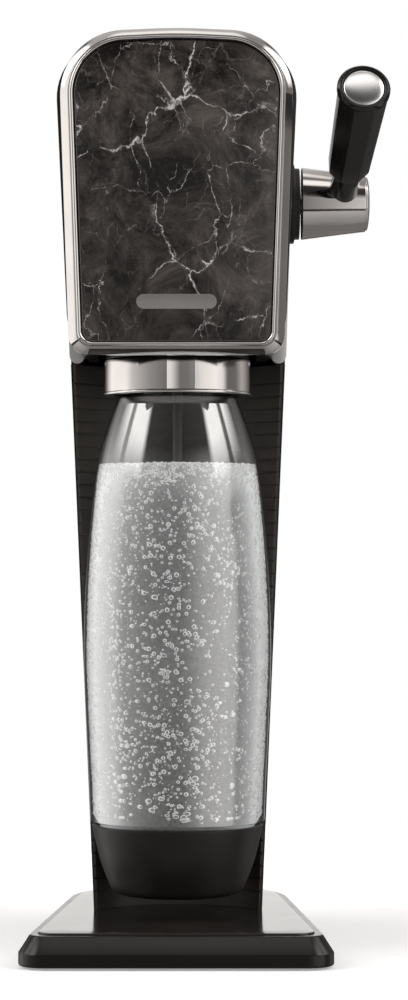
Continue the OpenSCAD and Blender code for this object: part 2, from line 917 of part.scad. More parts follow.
module nozzle() {
    color(grey) on_bottle_axis() difference() {
        union() {
            translate([0, 0, carrier_low - 16]) cylinder(h = 16, r1 = 4, r2 = 6);
            translate([0, 0, carrier_low]) cylinder(h = 8, r = 6);
            translate([0, 0, carrier_low + 8]) cylinder(h = 3, r = 8);
        }
        translate([0, 0, carrier_low - 20]) cylinder(h = 12, r = 2.2);
    }
}

module nozzle_tube() {
    color(grey) on_bottle_axis() ring(2.2, 1.2, 170, carrier_low - 8);
}

module bottle_seal() {
    color(rubber) on_bottle_axis() ring(20, 10, neck_top + gap, carrier_low);
}

// ---------- bottle ----------

function bottle_outline() = smooth([
    [36.6, cup_top_z], [40.3, cup_top_z + 1.5], [40.9, 78], [41.9, 98], [bottle_r, 134], [42.6, 167],
    [40.3, 200], [36.6, 228], [28.1, 255], [21.5, 268], [19, 276]], 4);

function bottle_inside() = smooth([
    [36.6 - bottle_wall, cup_top_z], [40.3 - bottle_wall, cup_top_z + 3], [40.9 - bottle_wall, 78],
    [41.9 - bottle_wall, 98], [bottle_r - bottle_wall, 134], [42.6 - bottle_wall, 167],
    [40.3 - bottle_wall, 200], [36.6 - bottle_wall, 228], [28.1 - bottle_wall, 255],
    [21.5 - bottle_wall, 268], [19 - bottle_wall, 276]], 4);

module bottle() {
    foot_z = 30;
    color(clear_tint) on_bottle_axis() rotate_extrude() polygon(concat(
        [[0, foot_z], [24, foot_z]],
        smooth([[28, foot_z + 1], [32.5, 36], [35.2, 46]], 3),
        bottle_outline(),
        [[19, neck_top], [19 - bottle_wall, neck_top]],
        [for (i = [len(bottle_inside()) - 1:-1:0]) bottle_inside()[i]],
        smooth([[33.6, 46], [31, 37], [27, foot_z + 2.8]], 3),
        [[0, foot_z + 2.5]]));
}

module bottle_base() {
    color(black_satin) on_bottle_axis() rotate_extrude() polygon(concat(
        [[0, bottle_low], [26, bottle_low]],
        smooth([[28.5, bottle_low + 0.8], [31, bottle_low + 3.5], [35.2, 40], [39.5, cup_top_z - 0.5]], 4),
        [[37.2, cup_top_z - 0.5]],
        smooth([[36.6, 50], [33.4, 36], [29, 30.2]], 4),
        [[24, 29.7], [0, 29.7]]));
}

module sparkling_water() {
    clear = 0.1;
    inside = [for (p = bottle_inside()) if (p.y < water_level - 2) [p.x - clear, p.y]];
    top_r = inside[len(inside) - 1].x;
    color(water_tint) on_bottle_axis() difference() {
        rotate_extrude() polygon(concat(
            [[0, 33.2], [26, 33.2]],
            smooth([[30, 37], [33, 46]], 3),
            inside,
            [[top_r - 1, water_level], [0, water_level]]));
        translate([0, 0, 160]) cylinder(h = 100, r = 2.8);
    }
}

base_shell();
base_cover();
rubber_feet();
base_screws();
drip_plate();
tower_shell();
splash_panel();
chassis();
head_shell();
head_underplate();
bezel();
side_band();
front_panel();
badge();
head_casing();
shaft_bushes();
lever_collar();
gas_cylinder();
cylinder_valve();
cylinder_seat();
valve_block();
relief_valve();
hose_fitting();
gas_hose();
pivot_banjo();
guide_pins();
pivot_pins();
handle_pins();
chassis_screws();
lever_shaft();
lever_hub();
hub_cap();
lever_neck();
lever_grip();
grip_cap();
cam();
retaining_clip();
pusher_yoke();
valve_pin();
pusher_spring();
holder_ring();
ring_clip();
holder_frame();
nozzle_carrier();
nozzle();
nozzle_tube();
bottle_seal();
bottle();
bottle_base();
sparkling_water();
rear_cover();
cover_button();
clamp_handle();
clamp_collar();
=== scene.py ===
"""Soda carbonator: the visual model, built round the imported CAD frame."""
import json
import math
import random

import bmesh
import bpy
from mathutils import Matrix, Vector, noise

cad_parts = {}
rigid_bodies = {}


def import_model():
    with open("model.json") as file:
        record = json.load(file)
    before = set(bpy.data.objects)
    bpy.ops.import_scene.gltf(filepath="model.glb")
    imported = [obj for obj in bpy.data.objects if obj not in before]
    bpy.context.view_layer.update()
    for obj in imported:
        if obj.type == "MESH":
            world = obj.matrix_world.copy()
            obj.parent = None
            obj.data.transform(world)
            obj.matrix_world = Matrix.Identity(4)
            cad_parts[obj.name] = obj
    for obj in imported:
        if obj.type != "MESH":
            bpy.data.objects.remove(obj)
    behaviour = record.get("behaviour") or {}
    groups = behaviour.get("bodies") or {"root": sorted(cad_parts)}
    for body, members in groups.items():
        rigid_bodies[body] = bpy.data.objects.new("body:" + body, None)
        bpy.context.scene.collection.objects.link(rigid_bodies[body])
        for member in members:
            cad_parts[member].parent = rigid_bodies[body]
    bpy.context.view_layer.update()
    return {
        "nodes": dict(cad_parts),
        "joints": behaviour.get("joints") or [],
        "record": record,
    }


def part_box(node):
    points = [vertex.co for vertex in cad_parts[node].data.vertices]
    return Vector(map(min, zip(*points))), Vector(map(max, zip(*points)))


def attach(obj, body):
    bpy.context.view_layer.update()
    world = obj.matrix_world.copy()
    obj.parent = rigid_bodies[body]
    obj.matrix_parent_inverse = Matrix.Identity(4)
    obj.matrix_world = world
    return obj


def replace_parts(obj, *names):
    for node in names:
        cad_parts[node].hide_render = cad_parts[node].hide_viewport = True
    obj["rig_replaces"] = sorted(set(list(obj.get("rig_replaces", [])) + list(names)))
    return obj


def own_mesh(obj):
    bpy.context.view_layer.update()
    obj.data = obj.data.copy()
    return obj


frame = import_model()

MM = 0.001
JOINTS = {joint["name"]: joint for joint in frame["joints"]}
SEGMENTS = 128


# ---------- outlines and paths ----------


def corner(before, point, after, radius, steps):
    """An arc that rounds one corner of a flat path."""
    u = (before - point).normalized()
    v = (after - point).normalized()
    half = u.angle(v) / 2
    if radius <= 0 or half > math.pi / 2 - 1e-4:
        return [point.copy()]
    centre = point + (u + v).normalized() * radius / math.sin(half)
    start = point + u * radius / math.tan(half) - centre
    end = point + v * radius / math.tan(half) - centre
    sweep = start.angle_signed(end)
    turned = [start.copy() for _ in range(steps + 1)]
    for i, spoke in enumerate(turned):
        spoke.rotate(Matrix.Rotation(-sweep * i / steps, 2))
    return [centre + spoke for spoke in turned]


def rounded(points, radii, steps):
    """A closed outline with each corner rounded."""
    flat = [Vector(p) for p in points]
    path = []
    for i, point in enumerate(flat):
        path += corner(flat[i - 1], point, flat[(i + 1) % len(flat)], radii[i], steps)
    return path


def softened(points, radius, steps=4):
    """An open profile with its inner corners rounded; its ends stay."""
    flat = [Vector(p) for p in points]
    path = [flat[0]]
    for before, point, after in zip(flat, flat[1:], flat[2:]):
        reach = 0.48 * min((before - point).length, (after - point).length)
        half = (before - point).angle(after - point) / 2
        path += corner(before, point, after, min(radius, reach * math.tan(half)), steps)
    return path + [flat[-1]]


def spline(points, steps):
    """A smooth curve through every point."""
    ends = [points[0], *points, points[-1]]
    path = []
    for p0, p1, p2, p3 in zip(ends, ends[1:], ends[2:], ends[3:]):
        for i in range(steps):
            t = i / steps
            path.append(0.5 * (2 * p1 + (p2 - p0) * t + (2 * p0 - 5 * p1 + 4 * p2 - p3) * t * t
                               + (3 * p1 - p0 - 3 * p2 + p3) * t ** 3))
    return path + [points[-1]]


# ---------- meshes ----------


def finish_mesh(name, mesh, sharp=32):
    mesh.validate()
    mesh.update()
    mesh.shade_smooth()
    mesh.set_sharp_from_angle(angle=math.radians(sharp))
    piece = bpy.data.objects.new(name, mesh)
    bpy.context.scene.collection.objects.link(piece)
    return piece


def from_bmesh(name, bm, sharp=32):
    bmesh.ops.recalc_face_normals(bm, faces=bm.faces)
    mesh = bpy.data.meshes.new(name)
    bm.to_mesh(mesh)
    bm.free()
    return finish_mesh(name, mesh, sharp)


def loft(name, loops, ring=False, sharp=32):
    """Quads between closed loops of points; the ends are capped, or joined in a ring."""
    bm = bmesh.new()
    rows = [[bm.verts.new(p) for p in loop] for loop in loops]
    pairs = list(zip(rows, rows[1:]))
    if ring:
        pairs.append((rows[-1], rows[0]))
    for low, high in pairs:
        for i in range(len(low)):
            j = (i + 1) % len(low)
            bm.faces.new((low[i], low[j], high[j], high[i]))
    if not ring:
        bm.faces.new(rows[0][::-1])
        bm.faces.new(rows[-1])
    return from_bmesh(name, bm, sharp)


def lathe(name, profile, place, segments=SEGMENTS, ring=False, sharp=32):
    """Turns a profile of (radius, height) about the axis that the matrix places along Z."""
    bm = bmesh.new()
    rows = []
    for radius, height in profile:
        if radius < 1e-6:
            rows.append([bm.verts.new(place @ Vector((0, 0, height)))])
            continue
        turns = [2 * math.pi * i / segments for i in range(segments)]
        rows.append([bm.verts.new(place @ Vector((radius * math.cos(a), radius * math.sin(a), height)))
                     for a in turns])
    pairs = list(zip(rows, rows[1:]))
    if ring:
        pairs.append((rows[-1], rows[0]))
    for low, high in pairs:
        for i in range(segments):
            j = (i + 1) % segments
            if len(low) == 1:
                bm.faces.new((low[0], high[j], high[i]))
            elif len(high) == 1:
                bm.faces.new((low[i], low[j], high[0]))
            else:
                bm.faces.new((low[i], low[j], high[j], high[i]))
    return from_bmesh(name, bm, sharp)


def refined(node, radius, sharp=30):
    """A copy of a CAD node with its corners merged and its sharp edges rounded, in its place."""
    bm = bmesh.new()
    bm.from_mesh(frame["nodes"][node].data)
    bmesh.ops.remove_doubles(bm, verts=bm.verts, dist=1e-6)
    bmesh.ops.dissolve_limit(bm, angle_limit=math.radians(0.4), verts=bm.verts, edges=bm.edges)
    edges = [e for e in bm.edges if len(e.link_faces) == 2 and e.calc_face_angle(0) > math.radians(sharp)]
    bmesh.ops.bevel(bm, geom=edges, offset=radius, segments=3, profile=0.5, affect="EDGES",
                    clamp_overlap=True)
    return from_bmesh(node + "_shell", bm, sharp)


def settle(piece, body, slot, look, *nodes):
    """Rides a finished piece on its body and gives it its look."""
    piece.data.materials.clear()
    piece.data.materials.append(look)
    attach(piece, body)
    if nodes:
        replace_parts(piece, *nodes)
    return piece


# ---------- material nodes ----------


class Nodes:
    """A node tree and its output, with short names for the nodes used here."""

    def __init__(self, tree, out):
        self.tree = tree
        self.out = out

    def add(self, kind, **settings):
        made = self.tree.nodes.new(kind)
        for key, value in settings.items():
            setattr(made, key, value)
        return made

    def link(self, source, target):
        self.tree.links.new(source, target)

    def ramp(self, value, stops):
        """A colour ramp; a stop is (position, grey) or (position, (r, g, b))."""
        made = self.add("ShaderNodeValToRGB")
        points = made.color_ramp.elements
        while len(points) < len(stops):
            points.new(0.5)
        for point, (position, colour) in zip(points, stops):
            point.position = position
            shade = (colour,) * 3 if isinstance(colour, (int, float)) else colour
            point.color = (*shade, 1)
        self.link(value, made.inputs["Fac"])
        return made.outputs["Color"]

    def math(self, operation, a, b=0.0, clamp=False):
        made = self.add("ShaderNodeMath", operation=operation, use_clamp=clamp)
        for socket, value in zip(made.inputs, (a, b)):
            if isinstance(value, (int, float)):
                socket.default_value = value
            else:
                self.link(value, socket)
        return made.outputs["Value"]

    def mix(self, factor, a, b, mode="MIX"):
        made = self.add("ShaderNodeMix", data_type="RGBA", blend_type=mode)
        for index, value in ((0, factor), (6, a), (7, b)):
            socket = made.inputs[index]
            if isinstance(value, tuple):
                socket.default_value = (*value, 1)
            elif isinstance(value, (int, float)):
                socket.default_value = value
            else:
                self.link(value, socket)
        return made.outputs[2]

    def blend(self, factor, first, second):
        """Mixes two closures into the output."""
        made = self.add("ShaderNodeMixShader")
        self.link(factor, made.inputs[0])
        self.link(first.outputs[0], made.inputs[1])
        self.link(second.outputs[0], made.inputs[2])
        self.link(made.outputs[0], self.out.inputs["Surface"])


class Shader(Nodes):
    """A material's nodes, round its Principled shader."""

    def __init__(self, name):
        self.material = bpy.data.materials.new(name)
        self.material.use_nodes = True
        tree = self.material.node_tree
        super().__init__(tree, tree.nodes["Material Output"])
        self.bsdf = tree.nodes["Principled BSDF"]
        self.coords = self.add("ShaderNodeTexCoord").outputs["Object"]

    def stretched(self, scale, turn=(0, 0, 0)):
        """The object coordinates, scaled per axis and turned."""
        made = self.add("ShaderNodeMapping")
        made.inputs["Scale"].default_value = scale
        made.inputs["Rotation"].default_value = [math.radians(a) for a in turn]
        self.link(self.coords, made.inputs["Vector"])
        return made.outputs["Vector"]

    def noise(self, scale, detail=2.0, rough=0.5, distort=0.0, vector=None, colour=False):
        made = self.add("ShaderNodeTexNoise")
        made.inputs["Scale"].default_value = scale
        made.inputs["Detail"].default_value = detail
        made.inputs["Roughness"].default_value = rough
        made.inputs["Distortion"].default_value = distort
        self.link(vector or self.coords, made.inputs["Vector"])
        return made.outputs["Color" if colour else "Fac"]

    def facing(self):
        """How far the surface turns away, from 0 face on to 1 edge on."""
        made = self.add("ShaderNodeLayerWeight")
        made.inputs["Blend"].default_value = 0.5
        return made.outputs["Facing"]

    def bump(self, height, depth, strength):
        made = self.add("ShaderNodeBump")
        made.inputs["Strength"].default_value = strength
        made.inputs["Distance"].default_value = depth
        self.link(height, made.inputs["Height"])
        self.link(made.outputs["Normal"], self.bsdf.inputs["Normal"])

    def set(self, **values):
        """Constants on the shader's own sockets."""
        for key, value in values.items():
            socket = self.bsdf.inputs[key.replace("_", " ")]
            socket.default_value = (*value, 1) if isinstance(value, tuple) else value


def plastic(name, dark, light, rough, grain=900, depth=0.00004, spread=0.06, shine=0.4):
    """Moulded plastic: fine grain, faint handling marks and a slight change of tone."""
    s = Shader(name)
    tone = s.noise(22, 4, 0.6)
    s.link(s.mix(s.ramp(tone, [(0.3, 0.0), (0.7, 1.0)]), dark, light), s.bsdf.inputs["Base Color"])
    marks = s.noise(60, 6, 0.7, 0.4)
    s.link(s.ramp(marks, [(0.3, rough - spread), (0.75, rough + spread)]), s.bsdf.inputs["Roughness"])
    s.bump(s.noise(grain, 2), depth, 0.25)
    s.set(Specular_IOR_Level=shine)
    return s.material


def metal(name, dark, light, rough, spread, brushed=None, depth=0.00002):
    """Metal with faint smudges; brushed gives the scale of its stretched grain."""
    s = Shader(name)
    s.set(Metallic=1.0)
    tone = s.noise(35, 3)
    s.link(s.mix(s.ramp(tone, [(0.35, 0.0), (0.7, 1.0)]), dark, light), s.bsdf.inputs["Base Color"])
    if brushed:
        lines = s.noise(1.0, 3, 0.6, vector=s.stretched(brushed))
        s.link(s.ramp(lines, [(0.25, rough - spread), (0.75, rough + spread)]), s.bsdf.inputs["Roughness"])
        s.bump(lines, depth, 0.3)
    else:
        marks = s.noise(90, 5, 0.65, 0.5)
        s.link(s.ramp(marks, [(0.35, rough - spread), (0.75, rough + spread)]), s.bsdf.inputs["Roughness"])
        s.bump(s.noise(500, 2), depth, 0.08)
    return s.material


def marble():
    """Black marble under a clear gloss: smoky clouds, jagged white veins and hairline cracks."""
    s = Shader("marble")

    def warped(scale, turn, big, small, seed):
        """Coordinates bent by coarse and fine noise, so that straight cell edges wander."""
        place = s.stretched(scale, turn)
        for amount, size, detail in ((big, 13, 3), (small, 70, 5), (small * 0.3, 260, 3)):
            bend = s.noise(size, detail, 0.6, vector=place, colour=True)
            shift = s.add("ShaderNodeVectorMath", operation="MULTIPLY_ADD")
            s.link(bend, shift.inputs[0])
            shift.inputs[1].default_value = (amount, amount, amount)
            s.link(place, shift.inputs[2])
            place = shift.outputs[0]
        move = s.add("ShaderNodeVectorMath", operation="ADD")
        s.link(place, move.inputs[0])
        move.inputs[1].default_value = seed
        return move.outputs[0]

    def cracks(vector, scale, width):
        """Veins along the edges between cells, of uneven thickness."""
        cells = s.add("ShaderNodeTexVoronoi", feature="DISTANCE_TO_EDGE")
        cells.inputs["Scale"].default_value = scale
        s.link(vector, cells.inputs["Vector"])
        thick = s.ramp(s.noise(60, 4, 0.7), [(0.40, 0.18), (0.60, 0.5), (0.72, 1.0)])
        away = s.math("DIVIDE", cells.outputs["Distance"], thick)
        return s.ramp(away, [(0.0, 1.0), (width * 0.4, 0.85), (width, 0.0)])

    def where(scale, low, high, seed):
        """Patches of the stone where a kind of vein shows."""
        move = s.add("ShaderNodeVectorMath", operation="ADD")
        s.link(s.coords, move.inputs[0])
        move.inputs[1].default_value = seed
        return s.ramp(s.noise(scale, 4, 0.62, 0.3, vector=move.outputs[0]), [(low, 0.0), (high, 1.0)])

    def both(veins, mask):
        return s.mix(1.0, veins, mask, "MULTIPLY")

    coarse = warped((1.0, 1.0, 0.8), (0, -38, 0), 0.045, 0.010, (0.013, 0, 0.021))
    second = warped((1.0, 1.0, 0.7), (0, 30, 0), 0.05, 0.012, (0.31, 0, 0.12))
    broken = s.ramp(s.noise(210, 4, 0.75), [(0.42, 0.15), (0.52, 1.0)])
    main = both(both(cracks(coarse, 24, 0.027), where(34, 0.46, 0.58, (0.1, 0, 0.3))), broken)
    glow = both(cracks(coarse, 24, 0.06), where(34, 0.50, 0.66, (0.1, 0, 0.3)))
    thin = both(both(cracks(second, 44, 0.024), where(40, 0.43, 0.58, (0.7, 0, 0.2))), broken)
    hair = both(cracks(coarse, 95, 0.06), where(60, 0.48, 0.62, (0.4, 0, 0.8)))
    smoke = s.ramp(s.noise(38, 10, 0.76, 0.7), [(0.42, 0.0), (0.52, 0.3), (0.66, 1.0)])
    fleck = s.ramp(s.noise(420, 3, 0.7), [(0.50, 0.0), (0.80, 0.25)])
    base = s.mix(smoke, (0.012, 0.0100, 0.0092), (0.155, 0.133, 0.122))
    base = s.mix(fleck, base, (0.15, 0.13, 0.12))
    base = s.mix(s.math("MULTIPLY", hair, 0.30), base, (0.42, 0.39, 0.37))
    base = s.mix(s.math("MULTIPLY", glow, 0.35), base, (0.32, 0.29, 0.28))
    base = s.mix(s.math("MULTIPLY", thin, 0.85), base, (0.85, 0.82, 0.80))
    base = s.mix(main, base, (1.0, 0.99, 0.98))
    s.link(base, s.bsdf.inputs["Base Color"])
    s.link(s.ramp(s.noise(120, 4), [(0.3, 0.12), (0.8, 0.20)]), s.bsdf.inputs["Roughness"])
    s.bump(s.noise(260, 2), 0.00003, 0.1)
    s.set(Coat_Weight=0.3, Coat_Roughness=0.05, Specular_IOR_Level=0.4)
    return s.material


def clear_wall(name, face_on, edge_on):
    """A thin clear wall: seen through face on, more of a mirror edge on; its back hardly shines."""
    s = Shader(name)
    s.tree.nodes.remove(s.bsdf)
    through = s.add("ShaderNodeBsdfTransparent")
    through.inputs["Color"].default_value = (0.94, 0.945, 0.945, 1)
    shine = s.add("ShaderNodeBsdfGlossy")
    shine.inputs["Roughness"].default_value = 0.02
    side = s.add("ShaderNodeNewGeometry")
    scuffs = s.ramp(s.noise(140, 5, 0.7), [(0.5, 0.0), (0.95, 0.02)])
    mirror = s.ramp(s.facing(),
                    [(0.0, face_on), (0.55, face_on * 1.2), (0.8, edge_on * 0.5), (0.97, edge_on)])
    front = s.math("SUBTRACT", 1.0, s.math("MULTIPLY", side.outputs["Backfacing"], 0.9))
    s.blend(s.math("ADD", s.math("MULTIPLY", mirror, front), scuffs, clamp=True), through, shine)
    return s.material


def cloudy_water():
    """Water full of fine gas, grey face on; its colour lightens towards its edges, partly its own milky tone
    and partly painted light, and the edges glow with painted light from behind.
    """
    s = Shader("cloudy_water")
    facing = s.facing()
    # Painted light: the base colour lightens towards the edges, partly the water's own milky tone and partly
    # light from behind and the sides.
    milk_and_edge_light = s.ramp(facing, [(0.0, 0.17), (0.12, 0.21), (0.35, 0.36), (0.58, 0.62), (0.9, 0.72)])
    height = s.add("ShaderNodeSeparateXYZ")
    s.link(s.coords, height.inputs[0])
    froth = s.ramp(height.outputs["Z"],
                   [(0.055, 0.0), (0.10, 0.0), (0.17, 0.06), (0.205, 0.16), (0.226, 0.62)])
    haze = s.noise(24, 5, 0.65, 0.6, vector=s.stretched((1, 1, 0.5)))
    cloud = s.ramp(haze, [(0.38, 0.0), (0.72, 0.16)])
    layers = s.noise(1.0, 3, 0.6, vector=s.stretched((30, 30, 420)))
    streaks = s.math("MULTIPLY", s.ramp(facing, [(0.35, 0.0), (0.6, 1.0)]),
                     s.ramp(layers, [(0.52, 0.0), (0.72, 0.25)]))
    grain = s.ramp(s.noise(620, 3, 0.75), [(0.40, -0.05), (0.72, 0.16)])
    tone = s.math("ADD", s.math("ADD", milk_and_edge_light, froth), s.math("ADD", cloud, streaks))
    tone = s.math("ADD", tone, grain, clamp=True)
    s.link(s.mix(tone, (0.0, 0.0, 0.0), (0.93, 0.955, 0.96)), s.bsdf.inputs["Base Color"])
    s.link(s.ramp(haze, [(0.3, 0.25), (0.7, 0.4)]), s.bsdf.inputs["Roughness"])
    # Painted light: the emission glows towards the edges, standing in for light from behind shining through
    # the water.
    s.link(s.ramp(facing, [(0.2, 0.0), (0.62, (0.25, 0.255, 0.255)), (1.0, 0.28)]),
           s.bsdf.inputs["Emission Color"])
    s.set(Specular_IOR_Level=0.3, Emission_Strength=1.0)
    s.bump(s.noise(190, 3, 0.6), 0.0004, 0.5)
    return s.material


def bubble(name, heart, solid, ring):
    """A flattened gas ball: clear in its heart, with a painted bright ring round it, a painted thin dark
    outline and a faint painted glow from its emission.
    """
    s = Shader(name)
    facing = s.facing()
    # Painted highlight: by how far the surface turns away, a bright ring and a darker outline.
    painted_ring_bands = s.ramp(facing, [(0.0, heart), (0.05, heart), (0.11, ring), (0.33, ring), (0.46, 0.5)])
    s.link(s.mix(s.ramp(s.noise(300, 2), [(0.3, 0.0), (0.7, 0.2)]), painted_ring_bands, (0.8, 0.81, 0.81)),
           s.bsdf.inputs["Base Color"])
    s.link(s.ramp(facing, [(0.0, solid), (0.04, solid), (0.10, 1.0)]), s.bsdf.inputs["Alpha"])
    # Painted glow: the bubble emits the colours of its painted ring.
    s.link(painted_ring_bands, s.bsdf.inputs["Emission Color"])
    s.set(Roughness=0.08, Specular_IOR_Level=1.0, Emission_Strength=0.32, Coat_Weight=0.6,
          Coat_Roughness=0.03)
    return s.material


LOOKS = {
    "satin_black": plastic("satin_black", (0.011, 0.0095, 0.0085), (0.015, 0.013, 0.0118), 0.36, shine=0.22),
    "gloss_black": plastic("gloss_black", (0.008, 0.0075, 0.007), (0.012, 0.011, 0.010), 0.16,
                           grain=400, depth=0.00001, spread=0.04),
    "drip_gloss": plastic("drip_gloss", (0.022, 0.019, 0.017), (0.030, 0.026, 0.024), 0.14,
                          grain=500, depth=0.00001, spread=0.03, shine=0.6),
    # Painted light: black plastic made a lighter grey for the splash panel and nozzle tube, standing in for
    # light falling on them.
    "black_painted_lighter": plastic("black_painted_lighter", (0.084, 0.075, 0.068), (0.100, 0.090, 0.082), 0.42),
    "base_black": plastic("base_black", (0.010, 0.0087, 0.0076), (0.0135, 0.0118, 0.0104), 0.22,
                          grain=700, depth=0.00002, spread=0.03, shine=0.3),
    "cup_black": plastic("cup_black", (0.013, 0.0122, 0.0106), (0.017, 0.016, 0.0142), 0.38,
                         grain=700, depth=0.00002, spread=0.02, shine=0.3),
    "grip_black": plastic("grip_black", (0.021, 0.019, 0.0173), (0.026, 0.0235, 0.0215), 0.26,
                          grain=600, depth=0.00002, spread=0.03, shine=0.25),
    "rubber": plastic("soft_rubber", (0.010, 0.010, 0.010), (0.018, 0.018, 0.018), 0.55,
                      grain=1200, depth=0.00005),
    "grey_plastic": plastic("grey_nylon", (0.16, 0.16, 0.155), (0.22, 0.215, 0.21), 0.5,
                            grain=1500, depth=0.00006),
    "handle_blue": plastic("blue_plastic", (0.06, 0.13, 0.27), (0.08, 0.16, 0.32), 0.32),
    "cylinder_paint": plastic("blue_paint", (0.05, 0.12, 0.26), (0.07, 0.15, 0.30), 0.28,
                              grain=250, depth=0.00003),
    "badge": plastic("satin_badge", (0.25, 0.24, 0.235), (0.31, 0.30, 0.29), 0.34),
    "chrome": metal("bright_chrome", (0.66, 0.635, 0.62), (0.74, 0.715, 0.70), 0.06, 0.02),
    "satin_chrome": metal("satin_chrome", (0.64, 0.61, 0.59), (0.72, 0.69, 0.67), 0.12, 0.03, (60, 60, 2600)),
    "band_chrome": metal("band_chrome", (0.84, 0.83, 0.82), (0.90, 0.89, 0.88), 0.34, 0.03),
    "hub_chrome": metal("hub_chrome", (0.62, 0.59, 0.57), (0.70, 0.67, 0.65), 0.09, 0.02, (60, 2600, 2600)),
    "disc_chrome": metal("disc_chrome", (0.90, 0.89, 0.88), (0.96, 0.95, 0.94), 0.24, 0.01),
    "steel": metal("machined_steel", (0.45, 0.45, 0.46), (0.58, 0.58, 0.59), 0.3, 0.08, (400, 2500, 2500)),
    "brass": metal("machined_brass", (0.52, 0.38, 0.16), (0.66, 0.50, 0.22), 0.28, 0.08, (300, 300, 2600)),
    "marble": marble(),
    "clear_plastic": clear_wall("bottle_wall", 0.25, 0.8),
    "wall_inside": clear_wall("bottle_wall_inside", 0.02, 0.25),
    "water": cloudy_water(),
    # the last number of each bubble look is the grey of its painted highlight ring
    "bubble": bubble("gas_bubble", 0.4, 0.35, 0.95),
    "fizz": bubble("fine_gas", 0.75, 0.8, 0.95),
    "foam": bubble("froth", 0.75, 0.9, 1.0),
}


# ---------- head ----------

# outlines of the bezel and the marble, in millimetres: half widths and corner radii at the lower and upper
# edges, then how far the top edge crowns, the blend in its middle and the width of the frame
BEZEL = {"low": 48.2, "high": 53.2, "bottom": 272.2, "top": 418.7, "low_r": 9.0, "high_r": 29.0}
PANEL = {"low": 41.35, "high": 46.1, "bottom": 278.6, "top": 412.6, "low_r": 4.5, "high_r": 22.5}
CROWN = 2.2
CROWN_R = 250
BEZEL_WIDTH = 7.1


def head_loop(share, y):
    """The outline a share of the way from the bezel's edge (0) to the marble's edge (1)."""
    size = {key: BEZEL[key] + (PANEL[key] - BEZEL[key]) * share for key in BEZEL}
    shoulder = size["top"] - CROWN
    flat = rounded(
        [(-size["low"], size["bottom"]), (size["low"], size["bottom"]), (size["high"], shoulder),
         (0, size["top"] + 0.25), (-size["high"], shoulder)],
        [size["low_r"], size["low_r"], size["high_r"], CROWN_R, size["high_r"]], 16)
    return [Vector((p.x, y, p.y)) * MM for p in flat]


def make_bezel():
    """The chrome frame: a wide bevel, a fine groove, a rounded bead and a ledge behind the marble."""
    front, back = [end.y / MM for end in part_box("bezel")]
    ledge = 9.8
    section = softened(
        [(0, back), (0, front + 4.6), (3.75, front + 0.7), (4.0, front + 1.1), (4.25, front + 0.75),
         (4.75, front + 0.15), (5.3, front), (5.85, front + 0.35), (6.1, front + 1.0), (6.2, front + 3.9),
         (ledge, front + 3.9), (ledge, back)], 0.5)
    loops = [head_loop(inset / BEZEL_WIDTH, y) for inset, y in section]
    settle(loft("bezel_frame", loops, ring=True, sharp=60), "root", "chrome", LOOKS["chrome"], "bezel")


def make_front_panel():
    """The marble, with a fine rounded edge."""
    front, back = [end.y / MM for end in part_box("front_panel")]
    section = [(0, back), (0, front + 0.5), (0.15, front + 0.15), (0.5, front)]
    loops = [head_loop(1 + inset / BEZEL_WIDTH, y) for inset, y in section]
    settle(loft("marble_panel", loops), "root", "marble", LOOKS["marble"], "front_panel")


def make_head_shell():
    """The gloss sleeve behind the bezel, open below in the middle where the holder tilts."""
    low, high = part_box("head_shell")
    wall = 2 * MM
    slot, foot_x, head_x = 37.5 * MM, 49.5 * MM, 55.2 * MM
    rise, crown_r = 20 * MM, 26.5 * MM

    def half(inset):
        """The right side: a soft lower corner out of the slot, a straight side, a round shoulder."""
        foot = []
        for i in range(13):
            a = math.pi / 2 * i / 12
            x = slot + (foot_x - slot - inset) * math.sin(a)
            foot.append(Vector((x, low.z + inset + rise * (1 - math.cos(a)))))
        top = Vector((head_x - inset, high.z - inset))
        return foot + corner(foot[-1], top, Vector((0, high.z - inset)), crown_r - inset, 14)

    def loop(inset, y):
        """Over the outside from right to left and back along the inside."""
        outer = half(inset)
        inner = half(wall)
        over = outer + [Vector((-p.x, p.y)) for p in reversed(outer)]
        back = [Vector((-p.x, p.y)) for p in inner] + inner[::-1]
        return [Vector((p.x, y, p.y)) for p in over + back]

    section = [(0.5 * MM, low.y), (0.12 * MM, low.y + 0.15 * MM), (0, low.y + 0.6 * MM), (0, high.y)]
    settle(loft("head_sleeve", [loop(*p) for p in section], sharp=40), "root", "gloss_black",
           LOOKS["gloss_black"], "head_shell")


def make_underplate():
    """The plate that closes the head from below, kept inside the sleeve's rounded corners."""
    edge = 41.5 * MM
    piece = refined("head_underplate", 0.3 * MM)
    for vertex in piece.data.vertices:
        vertex.co.x = min(max(vertex.co.x, -edge), edge)
    settle(piece, "root", "gloss_black", LOOKS["gloss_black"], "head_underplate")


def make_badge():
    """A blank pill with a softened edge."""
    low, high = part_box("badge")
    half = (high.z - low.z) / 2
    middle = (high.z + low.z) / 2
    steps = 24

    def loop(inset, y):
        turn = half - inset
        points = []
        for x, start in ((high.x - half, -math.pi / 2), (low.x + half, math.pi / 2)):
            for i in range(steps + 1):
                a = start + math.pi * i / steps
                points.append(Vector((x + turn * math.cos(a), y, middle + turn * math.sin(a))))
        return points

    section = [(0, high.y), (0, low.y + 0.25 * MM), (0.1 * MM, low.y + 0.07 * MM), (0.3 * MM, low.y),
               (0.45 * MM, low.y + 0.08 * MM)]
    settle(loft("badge_pill", [loop(*p) for p in section]), "root", "badge", LOOKS["badge"], "badge")


# ---------- base ----------


# the foot's front corners, the least they shrink to, its round back and half its width
FOOT_FRONT_R = 12 * MM
FOOT_LEAST_R = 8 * MM
FOOT_REAR_R = 58 * MM
FOOT_HALF = 69.93 * MM


